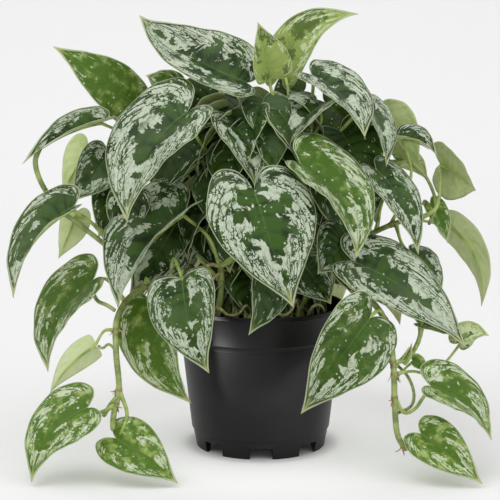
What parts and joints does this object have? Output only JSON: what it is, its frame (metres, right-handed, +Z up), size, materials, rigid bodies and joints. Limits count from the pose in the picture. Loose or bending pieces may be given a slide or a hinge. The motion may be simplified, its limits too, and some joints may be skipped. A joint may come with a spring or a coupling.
{
  "type": "satin pothos",
  "caption": "Trailing house plant with heart-shaped, silver-blotched leaves, arching over the rim of its black nursery pot.",
  "frame": {"origin": "centre of the pot's base, on the ground plane under the middle of the plant", "axes": "+Z up along the pot's axis, -Y towards the plant's full side, +X to the right as seen from that side"},
  "size_m": [0.4403, 0.291, 0.4037],
  "materials": {
    "pot_plastic": "satin black",
    "soil": "loose and crumbly",
    "stem": "smooth green bark with brown joints",
    "leaf_silver": "satin green with silver blotches",
    "leaf_fresh": "satin yellow-green with pale blotches",
    "leaf_pale": "matte pale green"
  },
  "bodies": {
    "root": {"pot": "pot_plastic", "soil": "soil", "vine_left": "stem", "vine_right": "stem", "stem_front": "stem", "crown_left": "stem", "crown_right": "stem", "side_left": "stem", "side_right": "stem", "stem_back": "stem", "leaf_crown_left": "leaf_silver", "leaf_far_left_top": "leaf_fresh", "leaf_shoulder_left": "leaf_silver", "leaf_crown_folded": "leaf_fresh", "leaf_crown_right": "leaf_fresh", "leaf_shoulder_right": "leaf_silver", "leaf_crown_inner": "leaf_silver", "leaf_inner_silver": "leaf_silver", "leaf_middle_top": "leaf_silver", "leaf_front_heart": "leaf_silver", "leaf_front_right": "leaf_silver", "leaf_right_middle": "leaf_silver", "leaf_right_silver": "leaf_silver", "leaf_right_behind": "leaf_pale", "leaf_right_looped": "leaf_pale", "leaf_far_right": "leaf_pale", "leaf_right_sliver": "leaf_pale", "leaf_low_right": "leaf_silver", "leaf_low_right_small": "leaf_silver", "leaf_over_pot_right": "leaf_silver", "leaf_vine_right_side": "leaf_fresh", "leaf_vine_right_tip": "leaf_fresh", "leaf_vine_right_young": "leaf_pale", "leaf_vine_right_thin": "leaf_fresh", "leaf_over_pot_left": "leaf_silver", "leaf_under_heart": "leaf_silver", "leaf_low_left": "leaf_fresh", "leaf_inner_low": "leaf_silver", "leaf_front_left": "leaf_silver", "leaf_left_silver": "leaf_silver", "leaf_left_behind": "leaf_pale", "leaf_far_left_arched": "leaf_silver", "leaf_far_left": "leaf_silver", "leaf_left_pale": "leaf_pale", "leaf_left_low": "leaf_silver", "leaf_left_rolled": "leaf_pale", "leaf_vine_left_big": "leaf_fresh", "leaf_vine_left_tip": "leaf_fresh", "leaf_back_1": "leaf_silver", "leaf_back_2": "leaf_silver", "leaf_back_3": "leaf_silver", "leaf_back_4": "leaf_silver", "leaf_back_5": "leaf_silver", "leaf_back_6": "leaf_silver", "leaf_back_7": "leaf_silver", "leaf_back_8": "leaf_silver", "leaf_back_9": "leaf_silver", "leaf_back_10": "leaf_silver", "leaf_back_11": "leaf_silver"}
  },
  "joints": []
}
